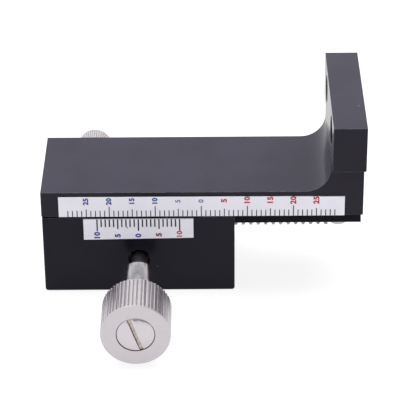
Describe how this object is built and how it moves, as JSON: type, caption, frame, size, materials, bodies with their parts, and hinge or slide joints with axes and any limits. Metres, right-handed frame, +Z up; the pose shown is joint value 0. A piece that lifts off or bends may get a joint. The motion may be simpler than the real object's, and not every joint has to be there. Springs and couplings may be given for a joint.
{
  "type": "linear stage",
  "caption": "Small rack-and-pinion dovetail stage with an angle bracket carriage, a millimetre scale with a vernier, a knurled drive knob and a knurled lock screw.",
  "frame": {"origin": "middle of the base block's underside", "axes": "+X along the travel towards the upright, +Y away from the drive knob, +Z up"},
  "size_m": [0.07, 0.068, 0.0432],
  "materials": {
    "black_anodised": "black anodised, fine satin",
    "satin_nickel": "satin nickel plate",
    "bright_steel": "machined steel",
    "dark_steel": "blackened steel",
    "bronze": "sintered bronze",
    "brass": "turned brass",
    "white_film": "printed film, satin"
  },
  "bodies": {
    "base": {"base_block": "black_anodised", "vernier_strip": "white_film", "gib": "bright_steel", "gib_screw_left": "dark_steel", "gib_screw_middle": "dark_steel", "gib_screw_right": "dark_steel", "front_bush": "bronze", "rear_bush": "bronze", "thrust_washer_front": "bright_steel", "thrust_washer_rear": "bright_steel", "wave_washer": "bright_steel", "bore_plug": "black_anodised", "bush_screw": "dark_steel"},
    "carriage": {"carriage_bracket": "black_anodised", "rack": "bright_steel", "rack_screw_left": "satin_nickel", "rack_screw_right": "satin_nickel", "ruler_strip": "white_film"},
    "pinion": {"pinion_shaft": "bright_steel", "shaft_clip": "dark_steel", "drive_knob": "satin_nickel", "knob_screw": "satin_nickel"},
    "lock_pad": {"lock_pad": "brass"},
    "lock_screw": {"lock_screw": "satin_nickel"}
  },
  "joints": [
    {"name": "carriage_slide", "type": "slide", "parent": "base", "child": "carriage", "axis": [1, 0, 0], "range_m": [-0.0389, 0.0111]},
    {"name": "pinion_turn", "type": "hinge", "parent": "base", "child": "pinion", "pos_m": [0, 0, 0.00801], "axis": [0, 1, 0], "range_deg": [-698.3, 199.4]},
    {"name": "lock_advance", "type": "slide", "parent": "base", "child": "lock_pad", "axis": [0, -1, 0], "range_m": [-0.0005, 0.0002]},
    {"name": "lock_turn", "type": "hinge", "parent": "lock_pad", "child": "lock_screw", "pos_m": [-0.0111, 0.02, 0.0164], "axis": [0, -1, 0], "range_deg": [-360.5, 144.5]}
  ],
  "couplings": [
    {"joint": "pinion_turn", "follows": "carriage_slide", "rad_per_m": 313.23},
    {"joint": "lock_turn", "follows": "lock_advance", "rad_per_m": 12566}
  ]
}
